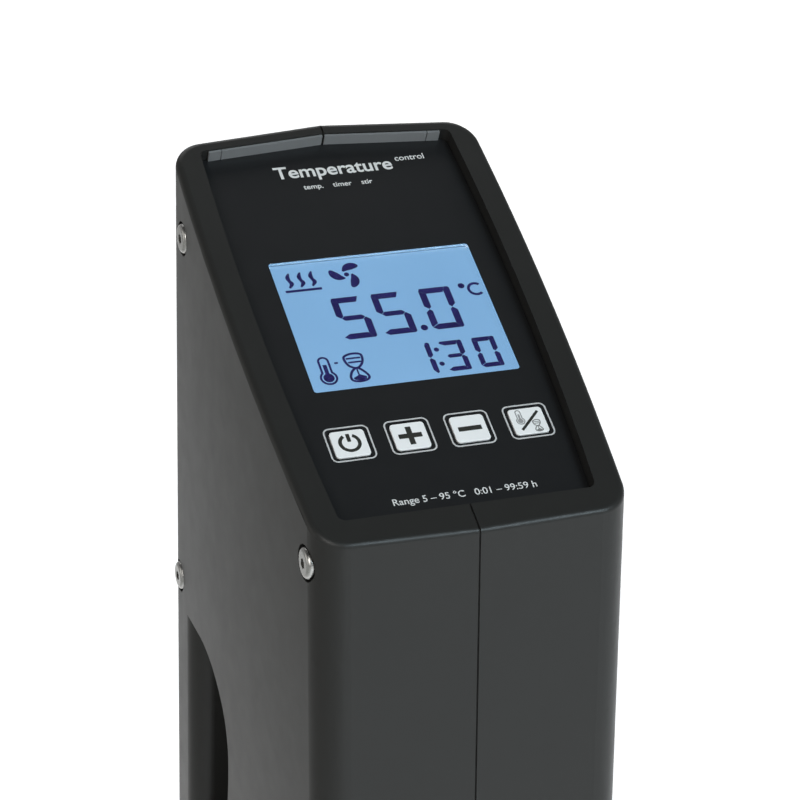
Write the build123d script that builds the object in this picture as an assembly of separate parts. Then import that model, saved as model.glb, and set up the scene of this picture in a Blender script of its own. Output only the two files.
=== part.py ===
from build123d import *
import math
import os

# Immersion circulator. Millimetres, +Z up, front towards -Y. Shapes are drawn about the
# housing's own centre line and moved to the centre of the whole footprint when saved.

# ---- Driving dimensions: housing ----
body_width = 100.0          # between the side faces, mean of front and rear corners
side_taper = 1.3            # half-width gained from the middle to the rear corners
side_bow = 2.4              # bulge of each side face at its middle
body_depth = 148.3          # between the front and rear corners
front_keel = 1.27           # degrees, each half of the front face to the seam
rear_keel = 4.3             # degrees, each half of the rear face to the seam
rear_lean = 4.2             # degrees, the rear face spreads backwards towards the bottom
front_height = 200.0        # housing bottom to the front top edge
slope_angle = 28.25         # degrees, control face above the horizontal
corner_radius = 10.5
edge_radius = 2.2           # round between the sides and the sloped top
wall = 3.0
seam_gap = 0.1              # between the two half shells
seam_groove = (0.55, 0.5)   # width and depth of the groove along the seam
housing_bottom = 140.0      # above the surface the circulator stands on

# ---- Driving dimensions: handle opening ----
handle_height = 256.0       # ceiling of the opening
handle_depth_y = 56.0       # front face of the handle bar
handle_flat = 8.0           # flat ceiling in front of the bar
handle_arcs = ((37.7, 46.8), (25.0, 43.2), (90.0, 27.8), (30.0, 62.2))  # radius, degrees
grip_radius = 8.0           # round of the bar's inner edges

# ---- Driving dimensions: recess and panel ----
rim_width = 8.6
recess_front = 8.8          # along the slope from the front edge
recess_rear = 163.3         # the same to the recess's rear corners
recess_keel = 3.2
recess_corner = 2.5
recess_depth = 4.5
overlay_thickness = 0.5
plate_thickness = 2.0
ledge_thickness = 2.5
ledge_width = 4.0
panel_fit = 0.2             # clearance round the panel and the window
strip_split = 7.55          # joint between a strip and its end block, from the recess's corner
strip_end = 3.1             # end of the end block, from the same corner
strip_drop = 0.7            # top of the strips below the rim

# ---- Driving dimensions: display and keys ----
window_size = (66.7, 54.3)
window_centre = (1.2, 88.3)
window_thickness = 2.0
module_size = (74.0, 62.0, 7.0)
key_names = ("key_power", "key_plus", "key_minus", "key_mode")
key_size = (10.95, 10.15)   # across and along the slope
key_pitch = 19.06
key_row = (1.5, 40.1)
key_gap = 0.35
key_proud = 0.2
key_lip = 1.2               # reach of the retaining flange past the cap
key_flange_thickness = 0.8
key_round = 1.2
key_stem_radius = 1.6
key_travel = 0.4
switch_size = (6.2, 4.5)
board_depth = 16.0          # front of the control board below the rim
board_size = (68.0, 112.0)
board_centre_v = 76.0
board_thickness = 1.6

# ---- Driving dimensions: fasteners ----
m3_radius = 1.5
m3_head = 2.8               # radius
m25_radius = 1.25
running_fit = 0.04          # radial, on shafts and plungers
thread_fit = 0.05           # radial, round screws in their own holes
housing_screw_places = ((59.0, 52.0), (-63.0, -9.2), (74.3, -73.8), (-63.0, -186.0), (62.0, -187.0))
housing_screw_radius = 2.5
housing_head = (4.9, 2.4)   # head radius and height
counterbore = (5.7, 1.6)    # radius and depth
socket_radius = 1.7
boss_radius = 7.5
insert_radius = 3.6
insert_length = 12.0
base_screw_places = ((44.3, -50.0), (45.5, 5.0), (45.5, 53.0))
base_screw_radius = 2.0
base_boss = (5.2, 13.0)

# ---- Driving dimensions: base, motor and pump ----
plate_base = 2.5            # stainless base plate
gasket = 1.0
gasket_width = 6.0
axis_y = -28.0              # pump and motor axis
shaft_radius = 3.0
motor_radius = 26.0
motor_length = 62.0
motor_bottom = 179.0
motor_plate_thickness = 3.0
bearing = (11.0, 7.0)       # outer radius and height
rotor_radius = 17.0
air_gap = 0.5
standoff_places = ((22.5, -22.5), (22.5, 22.5), (-22.5, -22.5), (-22.5, 22.5))
standoff_radius = 4.0
fan_hub = 8.0
fan_blade = (19.0, 11.0, 1.2)
fan_pitch = 35.0            # degrees
fan_blades = 7
fan_levels = (162.0, 171.0)
coupling_levels = (148.0, 160.0)
coupling_radius = 9.0
column_radius = 10.0
column_bore = 7.0
nut_across = 26.0
nut_height = 6.0
pump_radius = 23.0
pump_bore = 20.0
pump_levels = (12.0, 38.0)
pump_cover = 3.0
pump_roof = 4.0
pump_hub = (13.0, 10.0)
impeller_radius = 17.5
inlet_radius = 9.0
outlet_radii = (6.0, 4.0)

# ---- Driving dimensions: heater and sensors ----
heater_tube = 4.0
coil_radius = 30.0
coil_pitch = 12.0
half_turns = 7              # of the coil
coil_bottom = 56.0
inner_leg = 21.0
leg_rise = 6.5              # above the base plate
probe_place = (20.0, 0.0)   # from the pump axis
probe_radius = 2.5
probe_tip = 62.0
float_place = (-22.0, 0.0)
stem_radius = 3.0
float_radius = 8.0
float_levels = (106.0, 120.0)
float_travel = 9.0

# ---- Driving dimensions: cage and feet ----
cage_half_width = 38.0
cage_front = -68.0
cage_rear = 12.0
cage_corner = 10.0
cage_wall = 1.0
cage_bottom = 6.0
cage_floor = 3.0
slot_width = 6.0
slot_pitch = 11.0
slot_tiers = ((14.0, 62.0), (74.0, 122.0))
rod_places = ((30.5, -60.5), (30.5, 4.5), (-30.5, -60.5), (-30.5, 4.5))
rod_radius = 2.5
foot_places = ((24.0, -58.0), (24.0, 2.0), (-24.0, -58.0), (-24.0, 2.0))
foot_radius = 7.0
foot_stem = 2.0

# ---- Driving dimensions: pot clamp ----
jaw_y = 14.0
strap = 3.0                 # bracket thickness
strap_width = 44.0
jaw_bottom = 66.0
leg_y = 60.0
leg_bottom = 78.0
clamp_axis_z = 95.0
boss_length = 10.0
clamp_boss_radius = 9.0
spindle_radius = 5.0
spindle_tip = 4.0
shoe_radius = 14.0
shoe_thickness = 7.0
jaw_pad_thickness = 2.0
clamp_gap = 31.0            # jaw pad to shoe with the clamp open
clamp_travel = 28.0
knob_radius = 20.0
knob_length = 18.0
knob_lobes = 6
rivet_places = ((14.0, 28.0), (-14.0, 28.0), (14.0, 50.0), (-14.0, 50.0))
rivet_radius = 2.5

# ---- Driving dimensions: mains inlet and power board ----
inlet_z = 300.0
inlet_face = 83.1
inlet_body = (27.0, 20.0, 22.0)
inlet_flange = (50.0, 25.0, 3.0)
inlet_cavity = (24.0, 16.5, 16.0)
inlet_screw_x = 20.0
power_board_x = -30.0
power_board_span = ((-5.0, 50.0), (268.0, 345.0))
power_screw_places = ((0.0, 273.0), (45.0, 273.0), (0.0, 340.0), (45.0, 340.0))

# ---- Worked-out places ----
half_depth = body_depth / 2
half_front = body_width / 2 - side_taper
half_rear = body_width / 2 + side_taper
half_middle = body_width / 2 + side_bow
slope = math.radians(slope_angle)
front_edge_z = housing_bottom + front_height
lean_rise = math.tan(math.radians(rear_lean))
rear_edge_z = front_edge_z + body_depth * math.tan(slope)
bottom_lean = (rear_edge_z - housing_bottom) * lean_rise
front_apex = -half_depth - half_front * math.tan(math.radians(front_keel))
rear_apex = half_depth + half_rear * math.tan(math.radians(rear_keel))
slope_plane = Plane(
    origin=(0, -half_depth, front_edge_z),
    x_dir=(1, 0, 0),
    z_dir=(0, -math.sin(slope), math.cos(slope)),
)
overlay_back = -recess_depth - overlay_thickness
plate_back = overlay_back - plate_thickness
ledge_back = plate_back - ledge_thickness
base_top = housing_bottom - gasket
base_low = base_top - plate_base
jaw_face = jaw_y + strap + jaw_pad_thickness
shoe_face = jaw_face + clamp_gap
spindle_start = shoe_face + shoe_thickness - 5.0
boss_rear = leg_y + boss_length
knob_front = boss_rear + clamp_travel + 1.0
knob_rear = knob_front + knob_length
middle_y = (front_apex + knob_rear) / 2
key_places = [(key_row[0] + (i - 1.5) * key_pitch, key_row[1]) for i in range(len(key_names))]


# ---- Small helpers ----
def rod(radius, low, high, axis="z", at=(0.0, 0.0)):
    """Cylinder along one axis from low to high; at gives the other two coordinates in order."""
    middle = (low + high) / 2
    length = high - low
    if axis == "x":
        return Pos(middle, at[0], at[1]) * Rot(0, 90, 0) * Cylinder(radius, length)
    if axis == "y":
        return Pos(at[0], middle, at[1]) * Rot(90, 0, 0) * Cylinder(radius, length)
    return Pos(at[0], at[1], middle) * Cylinder(radius, length)


def block(x, y, z):
    """Box between the two values given for each axis."""
    size = (x[1] - x[0], y[1] - y[0], z[1] - z[0])
    return Pos((x[0] + x[1]) / 2, (y[0] + y[1]) / 2, (z[0] + z[1]) / 2) * Box(*size)


def hex_nut(across, low, high, at=(0.0, 0.0)):
    """Hexagonal prism standing on a level."""
    sketch = RegularPolygon(radius=across / 2, side_count=6, major_radius=False)
    return Pos(at[0], at[1], low) * extrude(sketch, amount=high - low)


def on_slope(shape, u, v, w):
    """Place a shape drawn at the origin on the sloped face: u across, v up, w outward."""
    return slope_plane.location * Pos(u, v, w) * shape


def slab(size_u, size_v, radius, low, high, u, v):
    """Rounded rectangular slab on the sloped face between two depths."""
    sketch = RectangleRounded(size_u, size_v, radius)
    return slope_plane.location * Pos(u, v, low) * extrude(sketch, amount=high - low)


def save(name, shape):
    """Write one sub-part, moved to the centre of the footprint."""
    export_step(Pos(0, -middle_y, 0) * shape, f"parts/{name}.step")


# ---- Housing ----
def outline(inset, lean=bottom_lean):
    """Plan outline of the housing drawn in by inset: bowed sides, keeled front and rear."""
    front = half_front - inset
    rear = half_rear - inset
    low = -half_depth + inset
    high = half_depth + lean - inset
    edges = [
        Line((-front, low), (0, front_apex + inset)),
        Line((0, front_apex + inset), (front, low)),
        ThreePointArc((front, low), (half_middle - inset, 0), (rear, high)),
        Line((rear, high), (0, rear_apex + lean - inset)),
        Line((0, rear_apex + lean - inset), (-rear, high)),
        ThreePointArc((-rear, high), (-half_middle + inset, 0), (-front, low)),
    ]
    face = make_face(edges)
    corners = [vertex for vertex in face.vertices() if abs(vertex.X) > 1]
    return fillet(corners, max(corner_radius - inset, 1.0))


def housing_block(inset, bottom, drop):
    """Solid under the sloped top, drawn in by inset, with the slope lowered by drop."""
    top = bottom + front_height + body_depth
    sections = [Pos(0, 0, z) * outline(inset, (rear_edge_z - z) * lean_rise) for z in (bottom, top)]
    tall = loft(sections, ruled=True)
    return split(tall, bisect_by=slope_plane.offset(-drop), keep=Keep.BOTTOM)


def handle_profile():
    """Side outline of the handle opening in the YZ plane."""
    start = (handle_depth_y, handle_height)
    ceiling = Line(start, (handle_depth_y - handle_flat, handle_height))
    edges = [ceiling]
    for radius, size in handle_arcs:
        tangent = edges[-1] % 1
        edges.append(JernArc(edges[-1] @ 1, (tangent.X, tangent.Y), radius, size))
    floor = edges[-1] @ 1
    corner = (handle_depth_y + (handle_height - floor.Y) * lean_rise, floor.Y)
    edges += [Line((floor.X, floor.Y), corner), Line(corner, start)]
    return make_face(edges)


def handle_prism(margin):
    """The handle opening right through the housing, widened by margin."""
    profile = handle_profile()
    if margin:
        profile = offset(profile, amount=margin)
    span = 2 * half_middle + 20
    return Plane.YZ.location * Pos(0, 0, -span / 2) * extrude(profile, amount=span)


def recess_face(inset):
    """Outline of the panel recess in the sloped face's own coordinates."""
    front = half_front - rim_width - inset
    rear = half_rear - rim_width - inset
    middle = half_middle - rim_width - inset
    low = recess_front + inset
    high = recess_rear - inset
    edges = [
        Line((-front, low), (front, low)),
        ThreePointArc((front, low), (middle, (low + high) / 2), (rear, high)),
        Line((rear, high), (0, high + recess_keel)),
        Line((0, high + recess_keel), (-rear, high)),
        ThreePointArc((-rear, high), (-middle, (low + high) / 2), (-front, low)),
    ]
    face = make_face(edges)
    corners = [vertex for vertex in face.vertices() if abs(vertex.X) > 1]
    return fillet(corners, recess_corner)


def recess_solid(inset, low, high):
    """Prism of the recess outline between two depths below the rim."""
    return slope_plane.location * Pos(0, 0, low) * extrude(recess_face(inset), amount=high - low)


def housing_bosses():
    """Screw bosses across the housing, base screw bosses and the power board's posts."""
    solids = []
    for y, z in housing_screw_places:
        solids.append(rod(boss_radius, -half_middle, half_middle, "x", (y, front_edge_z + z)))
    for x, y in base_screw_places:
        for side in (-1, 1):
            place = (side * x, y)
            solids.append(rod(base_boss[0], housing_bottom, housing_bottom + base_boss[1], "z", place))
    for y, z in power_screw_places:
        solids.append(rod(3.5, -half_middle, power_board_x, "x", (y, z)))
    pad = (-inlet_flange[0] / 2 - wall, inlet_flange[0] / 2 + wall)
    tall = (inlet_z - inlet_flange[1] / 2 - wall, inlet_z + inlet_flange[1] / 2 + wall)
    solids.append(block(pad, (inlet_face - 5.0, inlet_face + 5.0), tall))
    return Part() + solids


def housing_holes():
    """Every hole and pocket in the housing."""
    cuts = []
    for y, z in housing_screw_places:
        place = (y, front_edge_z + z)
        seat = seat_x(*place)
        cuts.append(rod(counterbore[0], -half_middle - 5, seat, "x", place))
        cuts.append(rod(housing_screw_radius + thread_fit, seat - 1, 0, "x", place))
        cuts.append(rod(insert_radius + thread_fit, 0, insert_length + 1, "x", place))
    for x, y in base_screw_places:
        for side in (-1, 1):
            place = (side * x, y)
            cuts.append(rod(base_screw_radius + thread_fit, base_low, housing_bottom + 9, "z", place))
    for y, z in power_screw_places:
        cuts.append(rod(m3_radius + thread_fit, power_board_x - 9, power_board_x + 1, "x", (y, z)))
    wide = inlet_flange[0] / 2 + panel_fit
    tall = inlet_flange[1] / 2 + panel_fit
    cuts.append(block((-wide, wide), (inlet_face, inlet_face + 15), (inlet_z - tall, inlet_z + tall)))
    wide = inlet_body[0] / 2 + panel_fit
    tall = inlet_body[1] / 2 + panel_fit
    cuts.append(block((-wide, wide), (inlet_face - 8, inlet_face + 1), (inlet_z - tall, inlet_z + tall)))
    for side in (-1, 1):
        place = (side * inlet_screw_x, inlet_z)
        cuts.append(rod(m3_radius + thread_fit, inlet_face - 6, inlet_face + 1, "y", place))
    return cuts


def seat_x(y, z):
    """Where a housing screw's head seats, measured on the bowed left face."""
    return -face_x(y, z) + counterbore[1]


def face_x(y, z):
    """Half-width of the bowed housing at a depth and a height."""
    front = -half_depth
    rear = half_depth + (rear_edge_z - z) * lean_rise
    return (
        half_front * y * (y - rear) / (front * (front - rear))
        + half_middle * (y - front) * (y - rear) / (front * rear)
        + half_rear * y * (y - front) / (rear * (rear - front))
    )


def grip_round(side):
    """What is cut away to round one inner edge of the handle bar."""
    height = handle_opening_height()
    rear = handle_depth_y + grip_radius
    centre = side * (face_x(rear, handle_height) - grip_radius)
    outside = side * (half_middle + 5)
    reach = (-height - 5, 5)
    corner = block(sorted((centre, outside)), (-grip_radius - 1, 0), reach)
    corner = corner - rod(grip_radius, reach[0] - 1, reach[1] + 1, "z", (centre, 0))
    corner = Pos(0, rear, handle_height) * Rot(rear_lean, 0, 0) * corner
    tall = (handle_height - height, handle_height)
    return corner & block((-body_width, body_width), (0, body_depth), tall)


def handle_opening_height():
    """Height of the handle opening, from the arcs of its front edge."""
    height = 0
    heading = 0
    for radius, size in handle_arcs:
        start, heading = heading, heading + size
        height += radius * (math.cos(math.radians(start)) - math.cos(math.radians(heading)))
    return height


def make_housing():
    """Left and right half shells."""
    outer = housing_block(0, housing_bottom, 0)
    top = outer.faces().sort_by(Axis((0, 0, 0), tuple(slope_plane.z_dir)))[-1]
    outer = fillet(top.edges(), edge_radius)
    outer = outer - handle_prism(0)
    for side in (-1, 1):
        outer = outer - grip_round(side)
    cavity = housing_block(wall, housing_bottom - 1, -ledge_back) - handle_prism(wall)
    shell = outer - cavity
    inner = housing_block(wall / 2, housing_bottom, -plate_back) - handle_prism(wall / 2)
    shell = shell + (housing_bosses() & inner)
    shell = shell - recess_solid(0, plate_back, 5.0)
    shell = shell - recess_solid(ledge_width, ledge_back - 8, plate_back + 1)
    for cut in housing_holes():
        shell = shell - cut
    width, depth = seam_groove
    core = housing_block(depth, housing_bottom - 5, depth) - handle_prism(depth)
    shell = shell - (centre_slab(width) - core)
    shell = shell - centre_slab(seam_gap)
    halves = shell.solids().sort_by(Axis.X)
    return halves[0], halves[-1]


def centre_slab(width):
    """Slab about the centre plane, larger than the housing."""
    tall = (housing_bottom - 10, housing_bottom + front_height + body_depth)
    return block((-width / 2, width / 2), (-body_depth, body_depth), tall)


def make_housing_screws():
    """Button-head screws with a hexagon socket, set into the left face."""
    solids = []
    for y, z in housing_screw_places:
        place = (y, front_edge_z + z)
        seat = seat_x(*place)
        head = rod(housing_head[0], seat - housing_head[1], seat, "x", place)
        rim = head.edges().filter_by(GeomType.CIRCLE).sort_by(Axis.X)[0]
        head = fillet([rim], housing_head[1] * 0.62)
        shank = rod(housing_screw_radius, seat - 0.5, insert_length - 1, "x", place)
        socket = Pos(seat - housing_head[1] - 1, place[0], place[1]) * Rot(0, 90, 0)
        hexagon = extrude(RegularPolygon(socket_radius, 6), amount=housing_head[1])
        solids.append(head + shank - socket * hexagon)
    return Part() + solids


def make_screw_inserts():
    """Threaded brass sleeves in the right half's bosses."""
    solids = []
    for y, z in housing_screw_places:
        place = (y, front_edge_z + z)
        sleeve = rod(insert_radius, 0.4, insert_length, "x", place)
        solids.append(sleeve - rod(housing_screw_radius + thread_fit, -1, insert_length + 1, "x", place))
    return Part() + solids


# ---- Panel ----
def window_opening(low, high, margin):
    """Prism of the display window between two depths."""
    width = window_size[0] + 2 * margin
    height = window_size[1] + 2 * margin
    return slab(width, height, 1.0, low, high, *window_centre)


def make_panel():
    """Front film and panel plate with the window, the key holes and the board's posts."""
    overlay = recess_solid(panel_fit, overlay_back, -recess_depth)
    plate = recess_solid(panel_fit, plate_back, overlay_back)
    window = window_opening(plate_back - 1, 0, panel_fit)
    overlay = overlay - window
    plate = plate - window
    for u, v in key_places:
        hole = [size + 2 * key_gap for size in key_size]
        cut = slab(*hole, key_round + key_gap, plate_back - 1, 0, u, v)
        overlay = overlay - cut
        plate = plate - cut
    for u, v in board_posts():
        plate = plate + on_slope(rod(3.0, -board_depth, plate_back), u, v, 0)
        plate = plate - on_slope(rod(m25_radius + thread_fit, -board_depth - 1, plate_back - 0.5), u, v, 0)
    return overlay, plate


def board_posts():
    """Places of the control board's four posts on the sloped face."""
    half_u = board_size[0] / 2 - 4.0
    half_v = board_size[1] / 2 - 5.0
    return [(su * half_u, board_centre_v + sv * half_v) for su in (-1, 1) for sv in (-1, 1)]


def make_window():
    """Clear display window, a hair below the film's face."""
    top = -recess_depth - 0.1
    return slab(window_size[0], window_size[1], 1.0, top - window_thickness, top, *window_centre)


def make_module():
    """Display module behind the window, with its raised glass."""
    glass_top = -recess_depth - window_thickness - 0.3
    front = plate_back - 0.1
    body = slab(*module_size[:2], 1.0, front - module_size[2], front, *window_centre)
    lit = [size - 0.6 for size in window_size]
    glass = slab(*lit, 0.8, plate_back - 1, glass_top, *window_centre)
    return body + glass


def make_key(u, v):
    """Key cap with its retaining flange and the stem that works the switch."""
    top = -recess_depth + key_proud
    flange_top = plate_back - 0.1
    cap = slab(*key_size, key_round, flange_top, top, u, v)
    face = cap.faces().sort_by(Axis((0, 0, 0), tuple(slope_plane.z_dir)))[-1]
    cap = fillet(face.edges(), 0.25)
    wide = [size + 2 * key_lip for size in key_size]
    flange = slab(*wide, key_round, flange_top - key_flange_thickness, flange_top, u, v)
    stem = on_slope(rod(key_stem_radius, stem_end(), flange_top - 0.2), u, v, 0)
    return cap + flange + stem


def stem_end():
    """Lower end of a key's stem, inside its switch."""
    return -board_depth + switch_size[1] - 1.5


def make_switches():
    """Push switches on the control board, bored for the keys' stems."""
    solids = []
    for u, v in key_places:
        side = switch_size[0]
        body = slab(side, side, 0.5, -board_depth, -board_depth + switch_size[1], u, v)
        bore_low = stem_end() - key_travel - 0.4
        solids.append(body - on_slope(rod(key_stem_radius + running_fit, bore_low, 0), u, v, 0))
    return Part() + solids


def make_control_board():
    """Circuit board parallel to the panel, with its components on the back."""
    low = -board_depth - board_thickness
    board = slab(*board_size, 2.0, low, -board_depth, 0, board_centre_v)
    for u, v in board_posts():
        board = board - on_slope(rod(m25_radius + thread_fit, low - 1, 0), u, v, 0)
    for row in range(3):
        chip = slab(9.0, 14.0, 0.5, low - 2.0, low + 0.1, -18 + 18 * row, board_centre_v + 8 * (row - 1))
        board = board + chip
    return board


def make_board_screws():
    """Screws that hold the control board to the panel's posts."""
    back = -board_depth - board_thickness
    solids = []
    for u, v in board_posts():
        head = rod(2.3, back - 1.8, back)
        shank = rod(m25_radius, back - 0.5, plate_back - 3.0)
        solids.append(on_slope(head + shank, u, v, 0))
    return Part() + solids


def make_panel_strips():
    """Bright strips along the rear wall of the recess, each with an end block."""
    solids = []
    for side in (-1, 1):
        end = (half_rear - rim_width, recess_rear)
        run = math.hypot(end[0], recess_keel)
        turn = -side * math.degrees(math.atan2(recess_keel, end[0]))
        for near, far in ((0.45, run - strip_split), (run - strip_split + 0.25, run - strip_end)):
            strip = Box(far - near, 0.8, recess_depth - strip_drop)
            along = (near + far) / 2
            height = -recess_depth + (recess_depth - strip_drop) / 2 + 0.05
            place = Pos(0, recess_rear + recess_keel, height) * Rot(0, 0, turn)
            solids.append(slope_plane.location * place * Pos(side * along, -0.45, 0) * strip)
    return Part() + solids


# ---- Mains inlet and power board ----
def make_inlet():
    """Appliance inlet: flange, shrouded body and its three blades."""
    flange_rear = inlet_face + inlet_flange[2]
    half = (inlet_flange[0] / 2, inlet_flange[1] / 2)
    flange = block((-half[0], half[0]), (inlet_face, flange_rear), (inlet_z - half[1], inlet_z + half[1]))
    flange = fillet(flange.edges().filter_by(Axis.Y), 4.0)
    half = (inlet_body[0] / 2, inlet_body[1] / 2)
    body_front = flange_rear - inlet_body[2]
    body = block((-half[0], half[0]), (body_front, inlet_face + 1), (inlet_z - half[1], inlet_z + half[1]))
    body = chamfer(body.edges().filter_by(Axis.Y).sort_by(Axis.Z)[:2], 4.0)
    half = (inlet_cavity[0] / 2, inlet_cavity[1] / 2)
    floor = flange_rear - inlet_cavity[2]
    cavity = block((-half[0], half[0]), (floor, flange_rear + 1), (inlet_z - half[1], inlet_z + half[1]))
    cavity = chamfer(cavity.edges().filter_by(Axis.Y).sort_by(Axis.Z)[:2], 4.0)
    inlet = flange + body - cavity
    for side in (-1, 1):
        place = (side * inlet_screw_x, inlet_z)
        inlet = inlet - rod(m3_radius + thread_fit, inlet_face - 1, flange_rear + 1, "y", place)
    pins = []
    for x, z in ((-7.0, 0.0), (7.0, 0.0), (0.0, 4.0)):
        slot = block((x - 1, x + 1), (body_front - 6, floor + 14), (inlet_z + z - 2, inlet_z + z + 2))
        inlet = inlet - slot
        pins.append(slot)
    return inlet, Part() + pins


def make_inlet_screws():
    """Two pan-head screws through the inlet's flange."""
    solids = []
    for side in (-1, 1):
        place = (side * inlet_screw_x, inlet_z)
        seat = inlet_face + inlet_flange[2]
        head = rod(m3_head, seat, seat + 1.9, "y", place)
        rim = head.edges().filter_by(GeomType.CIRCLE).sort_by(Axis.Y)[-1]
        head = fillet([rim], 1.2)
        solids.append(head + rod(m3_radius, inlet_face - 5, seat + 0.5, "y", place))
    return Part() + solids


def make_power_board():
    """Upright circuit board on the left half's posts."""
    (y0, y1), (z0, z1) = power_board_span
    board = block((power_board_x, power_board_x + board_thickness), (y0 - 5, y1), (z0, z1))
    for y, z in power_screw_places:
        board = board - rod(m3_radius + thread_fit, power_board_x - 1, power_board_x + 3, "x", (y, z))
    return board


def make_power_screws():
    """Screws that hold the power board to its posts."""
    front = power_board_x + board_thickness
    solids = []
    for y, z in power_screw_places:
        head = rod(m3_head, front, front + 2.0, "x", (y, z))
        solids.append(head + rod(m3_radius, power_board_x - 7, front + 0.5, "x", (y, z)))
    return Part() + solids


def make_power_parts():
    """Transformer, relay, capacitors and terminal block on the power board."""
    x = power_board_x + board_thickness
    return Part() + [
        block((x, x + 24), (14, 42), (312, 336)),
        block((x, x + 15), (-8, 6), (316, 332)),
        rod(6.0, x, x + 22, "x", (24, 298)),
        rod(5.0, x, x + 18, "x", (38, 298)),
        block((x, x + 12), (10, 36), (271, 282)),
    ]


def make_heat_sink():
    """Finned heat sink for the heater's triac."""
    x = power_board_x + board_thickness
    base = block((x, x + 22), (-9, -6.5), (278, 310))
    fins = [block((x, x + 22), (-7, 6), (z, z + 1.2)) for z in range(279, 310, 5)]
    return Part() + [base] + fins


# ---- Base ----
def make_base_plate():
    """Stainless plate under the housing, with every hole that passes through it."""
    plate = Pos(0, 0, base_low) * extrude(outline(0.3), amount=plate_base)
    holes = []
    for x, y in base_screw_places:
        holes += [(base_screw_radius + 0.25, side * x, y) for side in (-1, 1)]
    holes.append((column_radius + thread_fit, 0, axis_y))
    holes += [(heater_tube + thread_fit, x, y) for x, y in leg_places()]
    holes.append((probe_radius + thread_fit, probe_place[0], axis_y + probe_place[1]))
    holes.append((stem_radius + thread_fit, float_place[0], axis_y + float_place[1]))
    holes += [(rod_radius + thread_fit, x, y) for x, y in rod_places]
    holes += [(rivet_radius + thread_fit, x, y) for x, y in rivet_places]
    holes += [(2.0 + thread_fit, x, axis_y + y) for x, y in standoff_places]
    for radius, x, y in holes:
        plate = plate - rod(radius, base_low - 1, base_top + 1, "z", (x, y))
    return plate


def make_base_gasket():
    """Flat seal between the base plate and the housing's lower edge."""
    ring = Pos(0, 0, base_top) * extrude(outline(0.6), amount=gasket)
    ring = ring - Pos(0, 0, base_top - 1) * extrude(outline(gasket_width), amount=gasket + 2)
    for x, y in base_screw_places:
        for side in (-1, 1):
            ring = ring + rod(base_boss[0], base_top, housing_bottom, "z", (side * x, y))
    ring = ring & (Pos(0, 0, base_top) * extrude(outline(0.6), amount=gasket))
    for x, y in base_screw_places:
        for side in (-1, 1):
            ring = ring - rod(base_screw_radius + 0.25, base_top - 1, housing_bottom + 1, "z", (side * x, y))
    return ring


def make_base_screws():
    """Pan-head screws from below into the housing's bosses."""
    solids = []
    for x, y in base_screw_places:
        for side in (-1, 1):
            place = (side * x, y)
            head = rod(3.5, base_low - 2.2, base_low, "z", place)
            rim = head.edges().filter_by(GeomType.CIRCLE).sort_by(Axis.Z)[0]
            head = fillet([rim], 1.4)
            solids.append(head + rod(base_screw_radius, base_low - 0.5, housing_bottom + 8, "z", place))
    return Part() + solids


# ---- Motor and drive ----
def make_standoffs():
    """Four studs that carry the motor plate above the fan."""
    solids = []
    for x, y in standoff_places:
        place = (x, axis_y + y)
        post = rod(standoff_radius, base_top, motor_bottom - motor_plate_thickness, "z", place)
        post = post + rod(2.0, base_low, base_top + 1, "z", place)
        top = motor_bottom - motor_plate_thickness
        solids.append(post - rod(m3_radius + thread_fit, top - 10, top + 1, "z", place))
    return Part() + solids


def make_motor_plate():
    """Plate between the standoffs and the motor."""
    low = motor_bottom - motor_plate_thickness
    plate = Pos(0, axis_y, low) * extrude(RectangleRounded(62, 62, 8), amount=motor_plate_thickness)
    plate = plate - rod(8.0, low - 1, motor_bottom + 1, "z", (0, axis_y))
    for x, y in standoff_places:
        plate = plate - rod(1.7, low - 1, motor_bottom + 1, "z", (x, axis_y + y))
    for side in (-1, 1):
        plate = plate - rod(1.7, low - 1, motor_bottom + 1, "z", (side * 14, axis_y))
    return plate


def make_motor_screws():
    """Screws into the standoffs from above and into the motor from below."""
    low = motor_bottom - motor_plate_thickness
    solids = []
    for x, y in standoff_places:
        place = (x, axis_y + y)
        head = rod(m3_head, motor_bottom, motor_bottom + 2, "z", place)
        solids.append(head + rod(m3_radius, low - 8, motor_bottom + 1, "z", place))
    for side in (-1, 1):
        place = (side * 14, axis_y)
        head = rod(m3_head, low - 2, low, "z", place)
        solids.append(head + rod(m3_radius, low - 1, motor_bottom + 5, "z", place))
    return Part() + solids


def motor_levels():
    """Levels of the motor: bottom, lower bearing, rotor space, upper bearing and top."""
    top = motor_bottom + motor_length
    return (
        motor_bottom,
        motor_bottom + 2,
        motor_bottom + 2 + bearing[1] + 2,
        top - 4 - bearing[1],
        top - 2 - bearing[1],
        top - 2,
        top,
    )


def make_motor_can():
    """Motor case with its stator bore, bearing seats and shaft holes."""
    levels = motor_levels()
    place = (0, axis_y)
    can = rod(motor_radius, levels[0], levels[6], "z", place)
    can = can - rod(rotor_radius + air_gap, levels[2], levels[3], "z", place)
    can = can - rod(bearing[0], levels[1], levels[1] + bearing[1], "z", place)
    can = can - rod(bearing[0], levels[4], levels[5], "z", place)
    can = can - rod(shaft_radius + 1.5, levels[0] - 1, levels[6] + 1, "z", place)
    for side in (-1, 1):
        can = can - rod(m3_radius + thread_fit, levels[0] - 1, levels[0] + 6, "z", (side * 14, axis_y))
    return can


def make_motor_bearings():
    """Two bearings in the motor's ends."""
    levels = motor_levels()
    place = (0, axis_y)
    solids = []
    for low in (levels[1], levels[4]):
        ring = rod(bearing[0], low, low + bearing[1], "z", place)
        solids.append(ring - rod(shaft_radius + running_fit, low - 1, low + bearing[1] + 1, "z", place))
    return Part() + solids


def make_motor_shaft():
    """Motor shaft from the coupling to just above the top bearing."""
    levels = motor_levels()
    middle = (coupling_levels[0] + coupling_levels[1]) / 2
    return rod(shaft_radius, middle + 0.5, levels[6] + 3, "z", (0, axis_y))


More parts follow.
